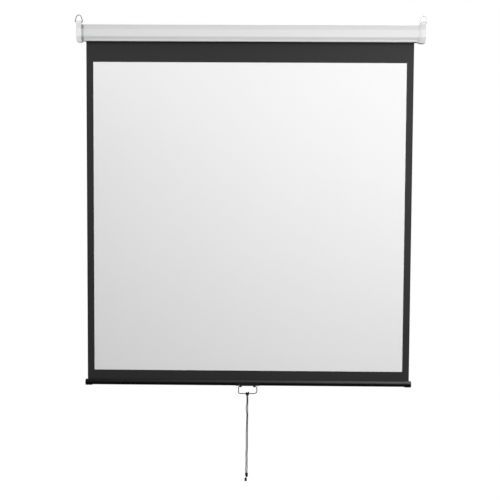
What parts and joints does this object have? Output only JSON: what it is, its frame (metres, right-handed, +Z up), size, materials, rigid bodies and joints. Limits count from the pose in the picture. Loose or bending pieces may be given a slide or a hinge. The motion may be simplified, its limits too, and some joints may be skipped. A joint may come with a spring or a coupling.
{
  "type": "pull down projector screen",
  "caption": "White pull-down projection screen with a spring roller in a slim casing, black border, bottom batten with wire handle and pull cord.",
  "frame": {"origin": "on the casing's flat back, which rests against the wall, at its mid height and at the middle of the fabric", "axes": "+X to the right along the roller as the audience sees it, +Y into the wall, +Z up"},
  "size_m": [1.605, 0.0712, 2.1629],
  "materials": {
    "casing_paint": "fine satin white",
    "cap_plastic": "satin white",
    "picture_fabric": "matt white front, black back",
    "border_ink": "matt black printed border",
    "black_fabric": "matt black",
    "batten_paint": "satin black",
    "black_plastic": "satin black",
    "zinc_steel": "zinc plated",
    "wire_steel": "plated wire",
    "spring_steel": "oiled spring steel",
    "tube_aluminium": "mill finish",
    "nylon": "natural",
    "cord": "braided black"
  },
  "bodies": {
    "housing": {"casing": "casing_paint", "left_end_cap": "cap_plastic", "right_end_cap": "cap_plastic", "cap_screw_left_front": "zinc_steel", "cap_screw_left_back": "zinc_steel", "cap_screw_right_front": "zinc_steel", "cap_screw_right_back": "zinc_steel", "idler_plate": "zinc_steel", "tang_plate": "zinc_steel", "idler_bush": "nylon", "tang_shaft": "zinc_steel", "lock_ratchet": "zinc_steel", "spring_mandrel": "nylon", "torsion_spring": "spring_steel", "screen_sheet": "picture_fabric", "mask_border": "border_ink"},
    "roller": {"roller_tube": "tube_aluminium", "fabric_roll": "black_fabric", "fabric_spline": "nylon", "idler_plug": "black_plastic", "idler_pin": "zinc_steel", "drive_plug": "black_plastic", "spring_anchor": "black_plastic", "pawl_cover": "zinc_steel", "pawl_pin_a": "zinc_steel", "pawl_pin_b": "zinc_steel"},
    "pawl_a": {"pawl_a": "zinc_steel"},
    "pawl_b": {"pawl_b": "zinc_steel"},
    "batten": {"batten_tube": "batten_paint", "fabric_hem": "black_fabric", "hem_rod": "zinc_steel", "left_batten_cap": "black_plastic", "right_batten_cap": "black_plastic", "handle_bracket": "black_plastic", "bracket_rivet_left": "batten_paint", "bracket_rivet_right": "batten_paint"},
    "handle": {"handle_bail": "wire_steel"},
    "pull_cord": {"cord_hitch": "cord", "cord_strand_a": "cord", "cord_strand_b": "cord", "cord_knot": "cord", "cord_tail": "cord", "cord_end_knot": "cord"},
    "left_ring": {"left_hanging_ring": "zinc_steel"},
    "right_ring": {"right_hanging_ring": "zinc_steel"}
  },
  "joints": [
    {"name": "screen_pull", "type": "slide", "parent": "housing", "child": "batten", "axis": [0, 0, 1], "range_m": [0, 1.555], "deforming": ["screen_sheet", "mask_border"]},
    {"name": "roller_spin", "type": "hinge", "parent": "housing", "child": "roller", "pos_m": [0, -0.036, 0], "axis": [1, 0, 0], "range_deg": [0, 3780]},
    {"name": "handle_swing", "type": "hinge", "parent": "batten", "child": "handle", "pos_m": [-0.0022, -0.01459, -1.62755], "axis": [1, 0, 0], "range_deg": [-85, 85]},
    {"name": "cord_swing", "type": "hinge", "parent": "handle", "child": "pull_cord", "pos_m": [-0.0025, -0.01459, -1.66105], "axis": [1, 0, 0], "range_deg": [-85, 85]},
    {"name": "left_ring_swing", "type": "hinge", "parent": "housing", "child": "left_ring", "pos_m": [-0.7808, -0.03, 0.0492], "axis": [1, 0, 0], "range_deg": [-90, 90]},
    {"name": "right_ring_swing", "type": "hinge", "parent": "housing", "child": "right_ring", "pos_m": [0.7888, -0.03, 0.0492], "axis": [1, 0, 0], "range_deg": [-90, 90]},
    {"name": "pawl_a_swing", "type": "hinge", "parent": "roller", "child": "pawl_a", "pos_m": [0.7573, -0.036, 0.0155], "axis": [1, 0, 0], "range_deg": [0, 20]},
    {"name": "pawl_b_swing", "type": "hinge", "parent": "roller", "child": "pawl_b", "pos_m": [0.7573, -0.036, -0.0155], "axis": [1, 0, 0], "range_deg": [0, 20]}
  ],
  "couplings": [
    {"joint": "roller_spin", "follows": "screen_pull", "rad_per_m": 42.427},
    {"joint": "cord_swing", "follows": "handle_swing", "ratio": -1}
  ]
}
